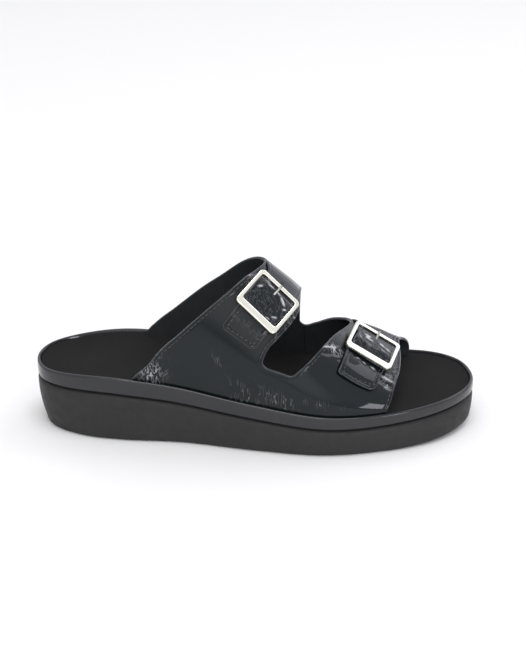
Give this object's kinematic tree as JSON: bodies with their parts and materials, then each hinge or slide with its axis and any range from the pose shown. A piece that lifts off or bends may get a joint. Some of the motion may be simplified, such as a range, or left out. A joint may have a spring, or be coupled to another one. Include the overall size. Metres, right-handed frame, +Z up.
{
  "type": "slide sandal",
  "caption": "Right-foot women's slide sandal: wedge outsole, banded footbed with dished insole, and a leather upper with buckled straps over the instep and the forefoot.",
  "frame": {"origin": "centre of the footprint of the bounding box, on the plane of the floor", "axes": "+X along the shoe from the heel to the toe, +Y to the inner side of the foot, +Z up"},
  "size_m": [0.256, 0.0916, 0.101],
  "materials": {
    "sole_foam": "matt foam rubber",
    "footbed_core": "pressed cork, hidden",
    "insole_cover": "matt, suede-like",
    "upper_leather": "crinkled patent",
    "buckle_metal": "polished",
    "rand_patent": "smooth patent"
  },
  "bodies": {
    "root": {"outsole": "sole_foam", "footbed": "footbed_core", "insole": "insole_cover", "upper": "upper_leather", "buckle_rear_frame": "buckle_metal", "buckle_rear_prong": "buckle_metal", "buckle_front_frame": "buckle_metal", "buckle_front_prong": "buckle_metal", "rand": "rand_patent"}
  },
  "joints": []
}
